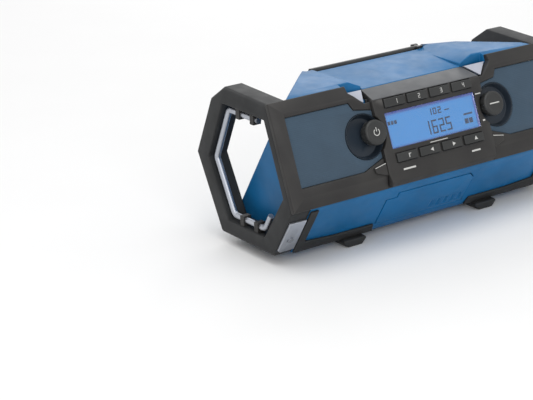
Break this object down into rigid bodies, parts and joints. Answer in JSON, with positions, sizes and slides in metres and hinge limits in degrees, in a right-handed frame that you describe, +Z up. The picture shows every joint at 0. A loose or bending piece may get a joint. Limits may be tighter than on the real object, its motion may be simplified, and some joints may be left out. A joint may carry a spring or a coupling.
{
  "type": "jobsite radio",
  "caption": "Rugged jobsite radio: tilted black front with speakers, display, knobs and keys in a blue housing between bumper hoops, with a folding antenna and a front hatch.",
  "frame": {"origin": "on the floor, under the middle of the radio", "axes": "+X along the radio to its right end as seen from the front, +Y to the back, +Z up"},
  "size_m": [0.356, 0.1734, 0.162],
  "materials": {
    "blue_shell": "blue moulded ABS, fine satin texture",
    "black_shell": "black moulded ABS, fine texture",
    "speaker_cloth": "slate blue painted steel mesh with acoustic cloth",
    "bumper_rubber": "black moulded rubber",
    "aluminium": "satin drawn and cut aluminium",
    "steel": "zinc plated steel",
    "display_glass": "clear acrylic window",
    "display_blue": "blue backlit liquid crystal display",
    "circuit": "glass fibre board and moulded parts",
    "socket_plastic": "black nylon",
    "cone_paper": "coated paper cone with moulded surround",
    "key_plastic": "black moulded key caps with light marks"
  },
  "bodies": {
    "chassis": {"antenna_clip": "blue_shell", "antenna_fork": "socket_plastic", "antenna_pin": "steel", "aux_socket": "socket_plastic", "battery_bay": "black_shell", "battery_contacts": "steel", "battery_terminal_block": "black_shell", "board_screws": "steel", "control_panel": "black_shell", "corner_plates": "aluminium", "dc_inlet": "socket_plastic", "display_lens": "display_glass", "display_module": "display_blue", "encoder_nuts": "steel", "encoders": "circuit", "front_base_rails": "bumper_rubber", "front_feet": "bumper_rubber", "front_frame": "black_shell", "front_housing": "blue_shell", "guard_clips": "bumper_rubber", "hatch_pin": "steel", "hatch_tray": "black_shell", "heat_sink": "aluminium", "key_switches": "circuit", "keypad_board": "circuit", "knob_cups": "black_shell", "left_guard_rod": "aluminium", "left_hoop": "bumper_rubber", "left_speaker_grille": "speaker_cloth", "main_board": "circuit", "panel_arms": "black_shell", "panel_wedges": "aluminium", "plate_screws": "steel", "rear_base_rail": "bumper_rubber", "rear_feet": "bumper_rubber", "rear_housing": "blue_shell", "right_guard_rod": "aluminium", "right_hoop": "bumper_rubber", "right_speaker_grille": "speaker_cloth", "roof_cover": "blue_shell", "speaker_baskets": "steel", "speaker_cones": "cone_paper", "speaker_magnets": "steel"},
    "preset_key_1": {"preset_key_1": "key_plastic"},
    "menu_key_1": {"menu_key_1": "key_plastic"},
    "preset_key_2": {"preset_key_2": "key_plastic"},
    "menu_key_2": {"menu_key_2": "key_plastic"},
    "preset_key_3": {"preset_key_3": "key_plastic"},
    "menu_key_3": {"menu_key_3": "key_plastic"},
    "preset_key_4": {"preset_key_4": "key_plastic"},
    "menu_key_4": {"menu_key_4": "key_plastic"},
    "left_push": {"left_push_plunger": "circuit"},
    "left_knob": {"left_knob": "black_shell", "left_knob_shaft": "steel"},
    "right_push": {"right_push_plunger": "circuit"},
    "right_knob": {"right_knob": "black_shell", "right_knob_shaft": "steel"},
    "hatch": {"front_hatch": "blue_shell"},
    "antenna": {"antenna": "bumper_rubber"}
  },
  "joints": [
    {"name": "preset_key_1_press", "type": "slide", "parent": "chassis", "child": "preset_key_1", "axis": [0, 0.9323, -0.3616], "range_m": [0, 0.001], "stiffness_N_per_m": 600, "springref_m": -0.0006},
    {"name": "menu_key_1_press", "type": "slide", "parent": "chassis", "child": "menu_key_1", "axis": [0, 0.9323, -0.3616], "range_m": [0, 0.001], "stiffness_N_per_m": 600, "springref_m": -0.0006},
    {"name": "preset_key_2_press", "type": "slide", "parent": "chassis", "child": "preset_key_2", "axis": [0, 0.9323, -0.3616], "range_m": [0, 0.001], "stiffness_N_per_m": 600, "springref_m": -0.0006},
    {"name": "menu_key_2_press", "type": "slide", "parent": "chassis", "child": "menu_key_2", "axis": [0, 0.9323, -0.3616], "range_m": [0, 0.001], "stiffness_N_per_m": 600, "springref_m": -0.0006},
    {"name": "preset_key_3_press", "type": "slide", "parent": "chassis", "child": "preset_key_3", "axis": [0, 0.9323, -0.3616], "range_m": [0, 0.001], "stiffness_N_per_m": 600, "springref_m": -0.0006},
    {"name": "menu_key_3_press", "type": "slide", "parent": "chassis", "child": "menu_key_3", "axis": [0, 0.9323, -0.3616], "range_m": [0, 0.001], "stiffness_N_per_m": 600, "springref_m": -0.0006},
    {"name": "preset_key_4_press", "type": "slide", "parent": "chassis", "child": "preset_key_4", "axis": [0, 0.9323, -0.3616], "range_m": [0, 0.001], "stiffness_N_per_m": 600, "springref_m": -0.0006},
    {"name": "menu_key_4_press", "type": "slide", "parent": "chassis", "child": "menu_key_4", "axis": [0, 0.9323, -0.3616], "range_m": [0, 0.001], "stiffness_N_per_m": 600, "springref_m": -0.0006},
    {"name": "left_knob_push", "type": "slide", "parent": "chassis", "child": "left_push", "axis": [0, 0.9323, -0.3616], "range_m": [0, 0.0008], "stiffness_N_per_m": 900, "springref_m": -0.0008},
    {"name": "left_knob_turn", "type": "hinge", "parent": "left_push", "child": "left_knob", "pos_m": [-0.074, -0.06125, 0.11574], "axis": [0, -0.9323, 0.3616], "continuous": true},
    {"name": "right_knob_push", "type": "slide", "parent": "chassis", "child": "right_push", "axis": [0, 0.9323, -0.3616], "range_m": [0, 0.0008], "stiffness_N_per_m": 900, "springref_m": -0.0008},
    {"name": "right_knob_turn", "type": "hinge", "parent": "right_push", "child": "right_knob", "pos_m": [0.074, -0.06125, 0.11574], "axis": [0, -0.9323, 0.3616], "continuous": true},
    {"name": "hatch_hinge", "type": "hinge", "parent": "chassis", "child": "hatch", "pos_m": [0, -0.04524, 0.01764], "axis": [1, 0, 0], "range_deg": [0, 90]},
    {"name": "antenna_fold", "type": "hinge", "parent": "chassis", "child": "antenna", "pos_m": [0.066, 0.03918, 0.1555], "axis": [0, 1, 0], "range_deg": [0, 90]}
  ]
}
